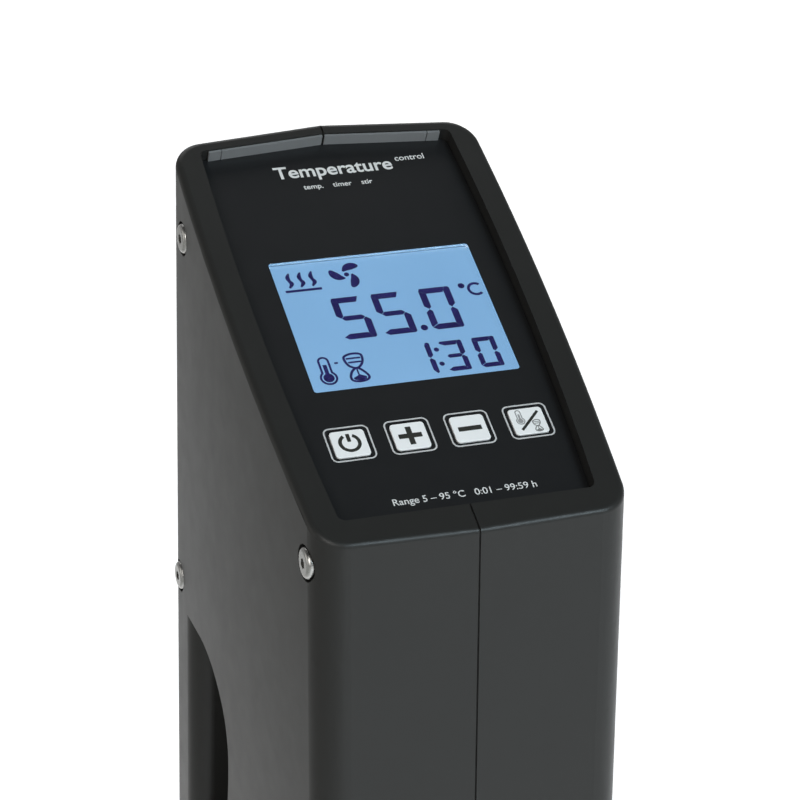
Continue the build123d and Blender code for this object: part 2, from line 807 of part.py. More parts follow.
def make_motor_rotor():
    """Laminated rotor on the motor shaft."""
    levels = motor_levels()
    body = rod(rotor_radius, levels[2] + 2, levels[3] - 2, "z", (0, axis_y))
    return body - rod(shaft_radius, levels[0], levels[6], "z", (0, axis_y))


def make_fan():
    """Cooling fan: hub and seven pitched blades."""
    low, high = fan_levels
    hub = rod(fan_hub, low, high, "z", (0, axis_y))
    reach = fan_hub - 1 + fan_blade[0] / 2
    blade = Pos(reach, 0, (low + high) / 2) * Rot(fan_pitch, 0, 0) * Box(*fan_blade)
    turns = [360 / fan_blades * i for i in range(fan_blades)]
    blades = [Pos(0, axis_y, 0) * Rot(0, 0, turn) * blade for turn in turns]
    fan = Part() + ([hub] + blades)
    return fan - rod(shaft_radius, low - 5, high + 5, "z", (0, axis_y))


def make_coupling():
    """Sleeve that joins the motor shaft to the pump shaft."""
    low, high = coupling_levels
    sleeve = rod(coupling_radius, low, high, "z", (0, axis_y))
    return sleeve - rod(shaft_radius, low - 1, high + 1, "z", (0, axis_y))


def make_pump_shaft():
    """Stainless pump shaft from the impeller up to the coupling."""
    middle = (coupling_levels[0] + coupling_levels[1]) / 2
    return rod(shaft_radius, pump_levels[0] + 3, middle - 0.5, "z", (0, axis_y))


def make_shaft_seal():
    """Lip seal in the column's top end."""
    low = base_top - 1
    ring = rod(column_bore, low, low + 7, "z", (0, axis_y))
    return ring - rod(shaft_radius + running_fit, low - 1, low + 8, "z", (0, axis_y))


def make_column():
    """Stainless tube that hangs the pump below the base plate, with its shoulder."""
    place = (0, axis_y)
    foot = pump_levels[1] + 2
    tube = rod(column_radius, foot, base_top + nut_height + 1, "z", place)
    tube = tube + rod(column_radius + 3, base_low - 3, base_low, "z", place)
    return tube - rod(column_bore, foot - 1, base_top + nut_height + 2, "z", place)


def make_column_nut():
    """Nut that clamps the column to the base plate."""
    nut = hex_nut(nut_across, base_top, base_top + nut_height, (0, axis_y))
    return nut - rod(column_radius + thread_fit, base_top - 1, base_top + nut_height + 1, "z", (0, axis_y))


def make_column_bushes():
    """Plain bushes that carry the pump shaft at both ends of the column."""
    solids = []
    for low, high in ((pump_levels[1] + 4, pump_levels[1] + 14), (base_low - 12, base_low - 4)):
        ring = rod(column_bore, low, high, "z", (0, axis_y))
        solids.append(ring - rod(shaft_radius + running_fit, low - 1, high + 1, "z", (0, axis_y)))
    return Part() + solids


# ---- Pump ----
def pump_lugs():
    """Places of the pump's four screw lugs."""
    reach = pump_radius + 2.0
    angles = [math.radians(45 + 90 * i) for i in range(4)]
    return [(reach * math.cos(a), axis_y + reach * math.sin(a)) for a in angles]


def make_pump_housing():
    """Pump body with its hub for the column, screw lugs and outlet pipe."""
    low, high = pump_levels
    place = (0, axis_y)
    body = rod(pump_radius, low, high, "z", place)
    body = body + rod(pump_hub[0], high - 1, high + pump_hub[1], "z", place)
    for x, y in pump_lugs():
        body = body + rod(4.0, low, low + 12, "z", (x, y))
    level = (low + high - pump_roof) / 2
    reach = (axis_y - pump_radius - 10, axis_y - 8)
    body = body + rod(outlet_radii[0], *reach, "y", (14, level))
    body = body - rod(pump_bore, low - 1, high - pump_roof, "z", place)
    body = body - rod(outlet_radii[1], reach[0] - 1, axis_y - 10, "y", (14, level))
    body = body - rod(column_radius, high + 2, high + pump_hub[1] + 1, "z", place)
    body = body - rod(shaft_radius + 0.5, low, high + 5, "z", place)
    for x, y in pump_lugs():
        body = body - rod(m3_radius + thread_fit, low - 1, low + 10, "z", (x, y))
    return body


def make_pump_cover():
    """Bottom plate of the pump with its inlet."""
    low = pump_levels[0] - pump_cover
    cover = rod(pump_radius, low, pump_levels[0], "z", (0, axis_y))
    for x, y in pump_lugs():
        cover = cover + rod(4.0, low, pump_levels[0], "z", (x, y))
        cover = cover - rod(1.7, low - 1, pump_levels[0] + 1, "z", (x, y))
    cover = cover - rod(inlet_radius, low - 1, pump_levels[0] + 1, "z", (0, axis_y))
    for turn in (0, 90):
        bar = Pos(0, axis_y, low + 1) * Rot(0, 0, turn) * Box(2 * inlet_radius + 2, 2.0, 2.0)
        cover = cover + bar
    return cover


def make_pump_screws():
    """Screws through the pump cover's lugs."""
    low = pump_levels[0] - pump_cover
    solids = []
    for x, y in pump_lugs():
        head = rod(m3_head, low - 1.8, low, "z", (x, y))
        solids.append(head + rod(m3_radius, low - 1, pump_levels[0] + 8, "z", (x, y)))
    return Part() + solids


def make_impeller():
    """Impeller: hub, top disc and six blades below it."""
    low = pump_levels[0] + 3
    top = pump_levels[1] - pump_roof - 3
    hub = rod(6.0, low, top, "z", (0, axis_y))
    disc = rod(impeller_radius, top - 2, top, "z", (0, axis_y))
    blade = Pos(11.0, 2.5, (low + top) / 2) * Rot(0, 0, -18) * Box(12.0, 1.6, top - low)
    blades = [Pos(0, axis_y, 0) * Rot(0, 0, 60 * i) * blade for i in range(6)]
    wheel = Part() + ([hub, disc] + blades)
    return wheel - rod(shaft_radius, low - 5, top + 5, "z", (0, axis_y))


# ---- Heater and sensors ----
def leg_places():
    """Where the heater's two legs pass the base plate: the inner leg, then the outer."""
    return [(0, axis_y + inner_leg), (0, axis_y - coil_radius)]


def make_heater():
    """Tubular heater: a coil of three and a half turns, made of half turns, with its two legs."""
    rise = coil_pitch / 2
    helix = Helix(pitch=coil_pitch, height=rise, radius=coil_radius)
    start = Plane(origin=helix @ 0, z_dir=helix % 0)
    bend = sweep(start * Circle(heater_tube), path=helix, is_frenet=True)
    coil = Part() + [Pos(0, 0, rise * i) * Rot(0, 0, 180 * i) * bend for i in range(half_turns)]
    coil = Pos(0, axis_y, coil_bottom) * Rot(0, 0, 90) * coil
    top = coil_bottom + rise * half_turns
    leg_top = base_top + leg_rise
    inner, outer = leg_places()
    heater = coil + rod(heater_tube, coil_bottom, leg_top, "z", inner)
    heater = heater + rod(heater_tube, inner[1], inner[1] + coil_radius - inner_leg, "y", (0, coil_bottom))
    heater = heater + rod(heater_tube, top, leg_top, "z", outer)
    for y, z in ((inner[1], coil_bottom), (axis_y + coil_radius, coil_bottom), (outer[1], top)):
        heater = heater + Pos(0, y, z) * Sphere(heater_tube + 0.02)
    return heater


def make_gland_nuts():
    """Nuts above the base plate on the heater's legs and on the probe."""
    solids = []
    for place in leg_places():
        nut = hex_nut(13.0, base_top, base_top + 5, place)
        solids.append(nut - rod(heater_tube + thread_fit, base_top - 1, base_top + 6, "z", place))
    place = (probe_place[0], axis_y + probe_place[1])
    nut = hex_nut(7.6, base_top, base_top + 3, place)
    solids.append(nut - rod(probe_radius + thread_fit, base_top - 1, base_top + 4, "z", place))
    return Part() + solids


def make_probe():
    """Temperature probe: a closed stainless tube with a round tip and a collar."""
    place = (probe_place[0], axis_y + probe_place[1])
    body = rod(probe_radius, probe_tip, base_top + 8, "z", place)
    tip = body.edges().filter_by(GeomType.CIRCLE).sort_by(Axis.Z)[0]
    body = fillet([tip], probe_radius * 0.9)
    return body + rod(4.0, base_low - 2, base_low, "z", place)


def make_float_stem():
    """Stem of the level sensor with the stops for its float."""
    place = (float_place[0], axis_y + float_place[1])
    low, high = float_levels
    stem = rod(stem_radius, low - 2.2, base_top + 6, "z", place)
    stem = stem + rod(4.6, low - 2.2, low - 0.4, "z", place)
    return stem + rod(4.6, high + float_travel + 0.4, base_low, "z", place)


def make_float():
    """Float that slides on the level sensor's stem."""
    place = (float_place[0], axis_y + float_place[1])
    low, high = float_levels
    body = rod(float_radius, low, high, "z", place)
    body = fillet(body.edges().filter_by(GeomType.CIRCLE), 2.0)
    return body - rod(stem_radius + 0.1, low - 1, high + 1, "z", place)


# ---- Guard cage ----
def cage_solid(inset, low, high):
    """Rounded rectangular prism of the cage's plan drawn in by inset."""
    size = (2 * (cage_half_width - inset), cage_rear - cage_front - 2 * inset)
    sketch = RectangleRounded(*size, max(cage_corner - inset, 1.0))
    return Pos(0, (cage_front + cage_rear) / 2, low) * extrude(sketch, amount=high - low)


def make_cage():
    """Perforated stainless guard round the heater and the pump."""
    cage = cage_solid(0, cage_bottom, base_low) - cage_solid(cage_wall, cage_bottom - 1, base_low + 1)
    middle = (cage_front + cage_rear) / 2
    for low, high in slot_tiers:
        sketch = SlotOverall(high - low, slot_width, rotation=90)
        for i in range(-2, 3):
            cut = extrude(Plane.XZ * sketch, amount=200, both=True)
            cage = cage - Pos(i * slot_pitch, middle, (low + high) / 2) * cut
            cut = extrude(Plane.YZ * sketch, amount=200, both=True)
            cage = cage - Pos(0, middle + i * slot_pitch, (low + high) / 2) * cut
    return cage


def make_cage_base():
    """Bottom plate of the cage, with slots for the water and sockets for the tie rods."""
    base = cage_solid(0, cage_floor, cage_bottom)
    base = base + cage_solid(cage_wall + 0.2, cage_bottom - 1, cage_bottom + 2)
    base = base - cage_solid(cage_wall + 2.0, cage_bottom, cage_bottom + 3)
    for x, y in rod_places:
        base = base + rod(4.5, cage_floor, cage_bottom + 6, "z", (x, y))
    for x, y in rod_places:
        base = base - rod(rod_radius + thread_fit, cage_floor + 1, cage_bottom + 7, "z", (x, y))
    for x, y in foot_places:
        base = base - rod(foot_stem + thread_fit, cage_floor - 1, cage_bottom + 1, "z", (x, y))
    middle = (cage_front + cage_rear) / 2
    for i in range(-2, 3):
        slot = extrude(SlotOverall(34, 5), amount=20)
        base = base - Pos(0, middle + i * 10, 0) * slot
    return base


def make_rods():
    """Four tie rods that pull the cage up against the base plate."""
    return Part() + [rod(rod_radius, cage_floor + 1.5, base_top + 7, "z", place) for place in rod_places]


def make_rod_nuts():
    """Nuts on the tie rods, above the base plate."""
    solids = []
    for place in rod_places:
        nut = hex_nut(8.0, base_top, base_top + 4, place)
        solids.append(nut - rod(rod_radius + thread_fit, base_top - 1, base_top + 5, "z", place))
    return Part() + solids


def make_feet():
    """Rubber feet pressed into the cage's bottom plate."""
    solids = []
    for place in foot_places:
        foot = rod(foot_radius, 0, cage_floor, "z", place)
        rim = foot.edges().filter_by(GeomType.CIRCLE).sort_by(Axis.Z)[0]
        foot = fillet([rim], 0.8)
        solids.append(foot + rod(foot_stem, cage_floor - 0.5, cage_bottom, "z", place))
    return Part() + solids


# ---- Pot clamp ----
def make_bracket():
    """Bent strap: fixed jaw, web under the base plate and rear leg with the screw's boss."""
    half = strap_width / 2
    jaw = block((-half, half), (jaw_y, jaw_y + strap), (jaw_bottom, base_low))
    web = block((-half, half), (jaw_y, leg_y + strap), (base_low - strap, base_low))
    leg = block((-half, half), (leg_y, leg_y + strap), (leg_bottom, base_low))
    bracket = jaw + web + leg + rod(clamp_boss_radius, leg_y, boss_rear, "y", (0, clamp_axis_z))
    outer = [e for e in bracket.edges().filter_by(Axis.X) if abs(e.center().Z - base_low) < 0.01]
    bracket = fillet(outer, strap * 0.9)
    low = [e for e in bracket.edges().filter_by(Axis.Y) if e.center().Z < clamp_axis_z]
    low = [e for e in low if e.length < strap + 0.1 and abs(abs(e.center().X) - half) < 0.01]
    bracket = fillet(low, 8.0)
    bracket = bracket - rod(spindle_radius + running_fit, leg_y - 1, boss_rear + 1, "y", (0, clamp_axis_z))
    for place in rivet_places:
        bracket = bracket - rod(rivet_radius + thread_fit, base_low - strap - 1, base_low + 1, "z", place)
    return bracket


def make_jaw_pad():
    """Rubber facing on the fixed jaw."""
    half = strap_width / 2 - 2
    pad = block((-half, half), (jaw_y + strap, jaw_face), (jaw_bottom + 4, base_low - strap - 8))
    return fillet(pad.edges().filter_by(Axis.Y), 5.0)


def make_rivets():
    """Rivets that join the bracket to the base plate."""
    solids = []
    for place in rivet_places:
        shank = rod(rivet_radius, base_low - strap - 1, base_top + 1, "z", place)
        lower = rod(4.5, base_low - strap - 1.8, base_low - strap, "z", place)
        upper = rod(4.5, base_top, base_top + 1.8, "z", place)
        solids.append(shank + lower + upper)
    return Part() + solids


def make_spindle():
    """Clamp screw with the pin on its tip that carries the shoe."""
    place = (0, clamp_axis_z)
    shoulder = shoe_face + shoe_thickness + 0.3
    spindle = rod(spindle_radius, shoulder, knob_rear - 4, "y", place)
    return spindle + rod(spindle_tip, spindle_start, shoulder + 1, "y", place)


def make_shoe():
    """Clamp shoe that swivels on the spindle's tip."""
    place = (0, clamp_axis_z)
    shoe = rod(shoe_radius, shoe_face, shoe_face + shoe_thickness - 2, "y", place)
    rim = shoe.edges().filter_by(GeomType.CIRCLE).sort_by(Axis.Y)[0]
    shoe = fillet([rim], 1.5)
    shoe = shoe + rod(8.0, shoe_face + 2, shoe_face + shoe_thickness, "y", place)
    return shoe - rod(spindle_tip + running_fit, spindle_start - 0.3, shoe_face + 20, "y", place)


def make_knob():
    """Lobed clamp knob on the end of the spindle."""
    place = (0, clamp_axis_z)
    knob = rod(knob_radius, knob_front, knob_rear, "y", place)
    for i in range(knob_lobes):
        angle = math.radians(360 / knob_lobes * i)
        reach = knob_radius + 4.0
        at = (reach * math.cos(angle), clamp_axis_z + reach * math.sin(angle))
        knob = knob - rod(7.0, knob_front - 1, knob_rear + 1, "y", at)
    ends = [e for e in knob.edges() if abs(e.center().Y - knob_rear) < 0.01]
    ends += [e for e in knob.edges() if abs(e.center().Y - knob_front) < 0.01]
    knob = fillet(ends, 1.6)
    return knob - rod(spindle_radius, knob_front - 1, knob_rear - 4, "y", place)


# ---- Write every sub-part ----
def main():
    """Build and save all the sub-parts."""
    os.makedirs("parts", exist_ok=True)
    left, right = make_housing()
    overlay, plate = make_panel()
    inlet, pins = make_inlet()
    parts = {
        "housing_left": left,
        "housing_right": right,
        "housing_screws": make_housing_screws(),
        "screw_inserts": make_screw_inserts(),
        "panel_overlay": overlay,
        "panel_plate": plate,
        "panel_strips": make_panel_strips(),
        "lcd_window": make_window(),
        "lcd_module": make_module(),
        "key_switches": make_switches(),
        "control_board": make_control_board(),
        "board_screws": make_board_screws(),
        "mains_inlet": inlet,
        "inlet_pins": pins,
        "inlet_screws": make_inlet_screws(),
        "power_board": make_power_board(),
        "power_board_screws": make_power_screws(),
        "power_components": make_power_parts(),
        "heat_sink": make_heat_sink(),
        "base_plate": make_base_plate(),
        "base_gasket": make_base_gasket(),
        "base_screws": make_base_screws(),
        "motor_standoffs": make_standoffs(),
        "motor_plate": make_motor_plate(),
        "motor_screws": make_motor_screws(),
        "motor_can": make_motor_can(),
        "motor_bearings": make_motor_bearings(),
        "motor_shaft": make_motor_shaft(),
        "motor_rotor": make_motor_rotor(),
        "cooling_fan": make_fan(),
        "shaft_coupling": make_coupling(),
        "pump_shaft": make_pump_shaft(),
        "shaft_seal": make_shaft_seal(),
        "pump_column": make_column(),
        "column_nut": make_column_nut(),
        "column_bushes": make_column_bushes(),
        "pump_housing": make_pump_housing(),
        "pump_cover": make_pump_cover(),
        "pump_screws": make_pump_screws(),
        "impeller": make_impeller(),
        "heater_coil": make_heater(),
        "gland_nuts": make_gland_nuts(),
        "temperature_probe": make_probe(),
        "float_stem": make_float_stem(),
        "level_float": make_float(),
        "guard_cage": make_cage(),
        "cage_base": make_cage_base(),
        "tie_rods": make_rods(),
        "rod_nuts": make_rod_nuts(),
        "rubber_feet": make_feet(),
        "clamp_bracket": make_bracket(),
        "jaw_pad": make_jaw_pad(),
        "bracket_rivets": make_rivets(),
        "clamp_spindle": make_spindle(),
        "clamp_shoe": make_shoe(),
        "clamp_knob": make_knob(),
    }
    for name, (u, v) in zip(key_names, key_places):
        parts[name] = make_key(u, v)
    for name, shape in parts.items():
        save(name, shape)


main()
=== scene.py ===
"""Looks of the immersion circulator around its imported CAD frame. Metres; +Z up, front towards -Y."""

import math

import bmesh
import bpy
from mathutils import Matrix, Vector


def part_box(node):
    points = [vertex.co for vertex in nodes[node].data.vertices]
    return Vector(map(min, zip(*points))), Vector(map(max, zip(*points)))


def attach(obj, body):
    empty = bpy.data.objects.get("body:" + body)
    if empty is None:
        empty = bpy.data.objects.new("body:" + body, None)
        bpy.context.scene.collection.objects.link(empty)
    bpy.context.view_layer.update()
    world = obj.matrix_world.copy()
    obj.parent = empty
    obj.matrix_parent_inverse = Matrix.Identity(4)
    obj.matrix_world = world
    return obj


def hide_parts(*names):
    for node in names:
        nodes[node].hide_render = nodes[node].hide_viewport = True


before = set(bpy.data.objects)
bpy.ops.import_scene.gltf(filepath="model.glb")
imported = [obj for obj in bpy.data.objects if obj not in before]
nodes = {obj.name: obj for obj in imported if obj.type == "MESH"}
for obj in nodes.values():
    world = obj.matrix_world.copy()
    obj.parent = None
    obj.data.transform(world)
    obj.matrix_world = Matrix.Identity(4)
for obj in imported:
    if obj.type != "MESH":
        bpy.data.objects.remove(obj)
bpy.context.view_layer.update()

MM = 0.001

# ---- Places taken from the frame, and the panel's layout in millimetres ----
housing_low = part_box("housing_left")[0]
FRONT_HEIGHT = 200.0            # housing bottom to the front top edge
FRONT_KEEL = 1.08               # the front's apex stands this far before its corners
HALF_DEPTH = 74.15
SLOPE = math.radians(28.25)
RECESS_DEPTH = 4.5
GLASS_DEPTH = 6.8               # face of the display below the rim
KEY_PITCH = 19.06
KEY_ROW = (1.5, 40.1)
KEY_TOP = -4.3
KEYS = ("key_power", "key_plus", "key_minus", "key_mode")
FILM = 0.05                     # thickness of printed marks
FILM_GAP = 0.01                 # their underside above the face they are printed on
DISPLAY_SHIFT = (0.55, 1.1)     # the marks lie this far from where they show through the window
DISPLAY_STROKE = 0.06           # thickness of the display's marks
DISPLAY_GAP = 0.02

front_y = housing_low.y + FRONT_KEEL * MM
front_edge_z = housing_low.z + FRONT_HEIGHT * MM
slope_frame = Matrix.Translation((0, front_y, front_edge_z)) @ Matrix.Rotation(SLOPE, 4, "X")


# ---- Materials ----
def new_material(name):
    """Empty node material with its shader: returns the material, its nodes, links and shader."""
    material = bpy.data.materials.new(name)
    material.use_nodes = True
    tree = material.node_tree
    tree.nodes.clear()
    output = tree.nodes.new("ShaderNodeOutputMaterial")
    shader = tree.nodes.new("ShaderNodeBsdfPrincipled")
    tree.links.new(shader.outputs["BSDF"], output.inputs["Surface"])
    return material, tree, shader


def coordinates(tree, stretch=(1, 1, 1)):
    """Object coordinates stretched along the axes."""
    source = tree.nodes.new("ShaderNodeTexCoord")
    mapping = tree.nodes.new("ShaderNodeMapping")
    mapping.inputs["Scale"].default_value = stretch
    tree.links.new(source.outputs["Object"], mapping.inputs["Vector"])
    return mapping.outputs["Vector"]


def noise(tree, vector, scale, detail=4.0, roughness=0.55):
    """Noise texture's factor at a scale in cycles per metre."""
    node = tree.nodes.new("ShaderNodeTexNoise")
    node.inputs["Scale"].default_value = scale
    node.inputs["Detail"].default_value = detail
    node.inputs["Roughness"].default_value = roughness
    tree.links.new(vector, node.inputs["Vector"])
    return node.outputs["Fac"]


def spread(tree, value, low, high, start=0.3, end=0.7):
    """Map a factor to a range."""
    node = tree.nodes.new("ShaderNodeMapRange")
    node.inputs["From Min"].default_value = start
    node.inputs["From Max"].default_value = end
    node.inputs["To Min"].default_value = low
    node.inputs["To Max"].default_value = high
    tree.links.new(value, node.inputs["Value"])
    return node.outputs["Result"]


def mix_colour(tree, factor, first, second):
    """Colour between two, by a factor."""
    node = tree.nodes.new("ShaderNodeMix")
    node.data_type = "RGBA"
    node.inputs["A"].default_value = (*first, 1)
    node.inputs["B"].default_value = (*second, 1)
    tree.links.new(factor, node.inputs["Factor"])
    return node.outputs["Result"]


def add_bump(tree, shader, height, strength, distance):
    """Bump the surface by a height."""
    node = tree.nodes.new("ShaderNodeBump")
    node.inputs["Strength"].default_value = strength
    node.inputs["Distance"].default_value = distance
    tree.links.new(height, node.inputs["Height"])
    tree.links.new(node.outputs["Normal"], shader.inputs["Normal"])


def darker(colour, share):
    """The colour scaled."""
    return tuple(channel * share for channel in colour)


def plastic(name, colour, rough, grain, depth, specular=0.5):
    """Moulded plastic: slight tone drift, satin patches and a fine moulded grain."""
    material, tree, shader = new_material(name)
    vector = coordinates(tree)
    drift = noise(tree, vector, 35, 3)
    light = tuple(min(channel, 0.97) for channel in darker(colour, 1.05))
    tree.links.new(mix_colour(tree, drift, darker(colour, 0.95), light), shader.inputs["Base Color"])
    patches = noise(tree, vector, 120, 6)
    tree.links.new(spread(tree, patches, *rough), shader.inputs["Roughness"])
    add_bump(tree, shader, noise(tree, vector, grain, 2), 0.35, depth)
    shader.inputs["Specular IOR Level"].default_value = specular
    return material


def brushed_metal(name, colour, rough):
    """Stainless steel brushed upwards, with faint smudges."""
    material, tree, shader = new_material(name)
    lines = noise(tree, coordinates(tree, (1, 1, 0.02)), 1800, 5, 0.7)
    smudge = noise(tree, coordinates(tree), 40, 4)
    tone = mix_colour(tree, lines, darker(colour, 0.82), darker(colour, 1.1))
    tree.links.new(tone, shader.inputs["Base Color"])
    blend = tree.nodes.new("ShaderNodeMath")
    blend.operation = "ADD"
    tree.links.new(spread(tree, lines, rough[0], rough[1]), blend.inputs[0])
    tree.links.new(spread(tree, smudge, -0.04, 0.06), blend.inputs[1])
    tree.links.new(blend.outputs["Value"], shader.inputs["Roughness"])
    shader.inputs["Metallic"].default_value = 1.0
    add_bump(tree, shader, lines, 0.2, 0.00004)
    return material


def cast_metal(name, colour, rough):
    """Turned or cast metal with a fine even texture."""
    material, tree, shader = new_material(name)
    vector = coordinates(tree)
    grains = noise(tree, vector, 900, 5)
    tone = mix_colour(tree, grains, darker(colour, 0.88), darker(colour, 1.08))
    tree.links.new(tone, shader.inputs["Base Color"])
    tree.links.new(spread(tree, grains, *rough), shader.inputs["Roughness"])
    shader.inputs["Metallic"].default_value = 1.0
    add_bump(tree, shader, noise(tree, vector, 2200, 3), 0.15, 0.00003)
    return material


def rubber(name, colour):
    """Matt rubber with a soft dusty bloom."""
    material, tree, shader = new_material(name)
    vector = coordinates(tree)
    bloom = noise(tree, vector, 160, 5)
    tree.links.new(mix_colour(tree, bloom, colour, darker(colour, 1.7)), shader.inputs["Base Color"])
    tree.links.new(spread(tree, bloom, 0.6, 0.82), shader.inputs["Roughness"])
    add_bump(tree, shader, noise(tree, vector, 1400, 3), 0.3, 0.00005)
    return material


def circuit_board(name, colour):
    """Solder mask with the faint ridges of its copper tracks."""
    material, tree, shader = new_material(name)
    vector = coordinates(tree)
    cells = tree.nodes.new("ShaderNodeTexVoronoi")
    cells.distance = "MANHATTAN"
    cells.inputs["Scale"].default_value = 220
    tree.links.new(vector, cells.inputs["Vector"])
    tracks = spread(tree, cells.outputs["Distance"], 0.0, 1.0, 0.25, 0.35)
    tone = mix_colour(tree, tracks, darker(colour, 0.7), darker(colour, 1.4))
    tree.links.new(tone, shader.inputs["Base Color"])
    tree.links.new(spread(tree, noise(tree, vector, 300, 3), 0.3, 0.42), shader.inputs["Roughness"])
    add_bump(tree, shader, tracks, 0.3, 0.00005)
    return material


def display_glow(name):
    """Backlit display: pale blue with a slow drift in brightness."""
    material, tree, shader = new_material(name)
    vector = coordinates(tree)
    drift = spread(tree, noise(tree, vector, 18, 2), 0.0, 1.0)
    colour = mix_colour(tree, drift, (0.203, 0.412, 0.680), (0.222, 0.442, 0.716))
    tree.links.new(colour, shader.inputs["Emission Color"])
    shader.inputs["Base Color"].default_value = (0.02, 0.04, 0.07, 1)
    shader.inputs["Emission Strength"].default_value = 1.0
    shader.inputs["Roughness"].default_value = 0.4
    return material


def ink(name, colour, glow=0.0):
    """Printed or switched-on mark with slightly uneven density."""
    material, tree, shader = new_material(name)
    density = noise(tree, coordinates(tree), 900, 3)
    tone = mix_colour(tree, density, darker(colour, 0.93), darker(colour, 1.05))
    tree.links.new(tone, shader.inputs["Base Color"])
    tree.links.new(spread(tree, density, 0.45, 0.6), shader.inputs["Roughness"])
    if glow:
        tree.links.new(tone, shader.inputs["Emission Color"])
        shader.inputs["Emission Strength"].default_value = glow
    return material


def clear_window(name):
    """Clear display window with faint wipe marks."""
    material, tree, shader = new_material(name)
    wipes = noise(tree, coordinates(tree, (1, 0.2, 0.2)), 300, 3)
    tree.links.new(spread(tree, wipes, 0.015, 0.05), shader.inputs["Roughness"])
    shader.inputs["Base Color"].default_value = (1, 1, 1, 1)
    shader.inputs["Transmission Weight"].default_value = 1.0
    shader.inputs["IOR"].default_value = 1.45
    return material


BLACK = (0.0205, 0.0203, 0.0192)
materials = {
    "housing": plastic("housing_black", BLACK, (0.36, 0.40), 2400, 0.00002, 0.26),
    "panel": plastic("panel_black", (0.012, 0.0125, 0.0135), (0.4, 0.46), 3000, 0.00002, 0.25),
    "overlay": plastic("panel_film", (0.0125, 0.013, 0.014), (0.35, 0.4), 1800, 0.00001, 0.28),
    "strip": plastic("strip_grey", (0.20, 0.205, 0.21), (0.3, 0.42), 1500, 0.00002),
    "window": clear_window("window_clear"),
    "display": display_glow("display_glow"),
    "key": plastic("key_white", (0.93, 0.93, 0.925), (0.3, 0.4), 1600, 0.00001),
    "black": plastic("part_black", (0.02, 0.02, 0.021), (0.42, 0.55), 1800, 0.00004),
    "board": circuit_board("board_green", (0.02, 0.13, 0.05)),
    "component": plastic("component_dark", (0.035, 0.035, 0.04), (0.35, 0.5), 900, 0.00003),
    "aluminium": brushed_metal("sink_aluminium", (0.72, 0.73, 0.75), (0.3, 0.45)),
    "screw": cast_metal("screw_steel", (0.45, 0.445, 0.43), (0.24, 0.36)),
    "brass": cast_metal("brass_plain", (0.76, 0.58, 0.27), (0.28, 0.4)),
    "rubber": rubber("rubber_black", (0.018, 0.018, 0.018)),
    "sheet": brushed_metal("sheet_steel", (0.60, 0.60, 0.59), (0.24, 0.4)),
    "polished": cast_metal("polished_steel", (0.68, 0.68, 0.68), (0.14, 0.24)),
    "motor": cast_metal("motor_zinc", (0.32, 0.33, 0.34), (0.36, 0.5)),
    "bush": plastic("bush_natural", (0.60, 0.57, 0.46), (0.4, 0.5), 1200, 0.00003),
    "heater": cast_metal("heater_steel", (0.46, 0.44, 0.41), (0.3, 0.46)),
    "pump": plastic("pump_black", (0.04, 0.04, 0.043), (0.4, 0.55), 1200, 0.00005),
    "float": plastic("float_white", (0.72, 0.72, 0.69), (0.4, 0.52), 1200, 0.00003),
    "knob": plastic("knob_black", (0.022, 0.022, 0.023), (0.36, 0.48), 1400, 0.00004),
    "mark": ink("display_mark", (0.009, 0.005, 0.085), 0.6),
    "white_ink": ink("print_white", (0.78, 0.78, 0.77)),
    "frame_ink": ink("print_frame", (0.58, 0.58, 0.58)),
    "grey_ink": ink("print_grey", (0.34, 0.34, 0.34)),
    "dark_ink": ink("print_dark", (0.021, 0.022, 0.018)),
    "pale_ink": ink("print_pale", (0.25, 0.25, 0.245)),
}
NODE_MATERIALS = {
    "housing": ("housing_left", "housing_right"),
    "panel": ("panel_plate",),
    "overlay": ("panel_overlay",),
    "strip": ("panel_strips",),
    "window": ("lcd_window",),
    "display": ("lcd_module",),
    "key": KEYS,
    "black": ("key_switches", "mains_inlet", "cooling_fan"),
    "board": ("control_board", "power_board"),
    "component": ("power_components",),
    "aluminium": ("heat_sink",),
    "screw": (
        "housing_screws", "board_screws", "power_board_screws", "base_screws", "motor_screws",
        "pump_screws", "inlet_screws", "rod_nuts", "column_nut", "gland_nuts",
    ),
    "brass": ("screw_inserts", "inlet_pins", "motor_standoffs"),
    "rubber": ("base_gasket", "jaw_pad", "rubber_feet", "shaft_seal"),
    "sheet": ("base_plate", "guard_cage", "cage_base", "clamp_bracket", "bracket_rivets"),
    "polished": (
        "pump_column", "tie_rods", "pump_shaft", "motor_shaft", "temperature_probe",
        "float_stem", "clamp_spindle", "shaft_coupling",
    ),
    "motor": ("motor_can", "motor_plate", "motor_rotor", "motor_bearings"),
    "bush": ("column_bushes",),
    "heater": ("heater_coil",),
    "pump": ("pump_housing", "pump_cover", "impeller"),
    "float": ("level_float",),
    "knob": ("clamp_knob", "clamp_shoe"),
}


def dress_nodes():
    """Give every CAD node its material."""
    for key, names in NODE_MATERIALS.items():
        for name in names:
            slots = nodes[name].data.materials
            if not slots:
                slots.append(materials[key])
            for index in range(len(slots)):
                slots[index] = materials[key]


# ---- Flat shapes on the sloped face ----
def circle(u, v, radius, count=32):
    """Points round a circle."""
    turns = [2 * math.pi * i / count for i in range(count)]
    return [(u + radius * math.cos(t), v + radius * math.sin(t)) for t in turns]


def arc(u, v, radius, start, end, count=24):
    """Points along an arc between two angles in degrees."""
    steps = [math.radians(start + (end - start) * i / count) for i in range(count + 1)]
    return [(u + radius * math.cos(t), v + radius * math.sin(t)) for t in steps]


def rounded(u, v, width, height, radius):
    """Rounded rectangle about a centre."""
    points = []
    for su, sv, start in ((1, 1, 0), (-1, 1, 90), (-1, -1, 180), (1, -1, 270)):
        centre = (u + su * (width / 2 - radius), v + sv * (height / 2 - radius))
        points += arc(*centre, radius, start, start + 90, 8)
    return points


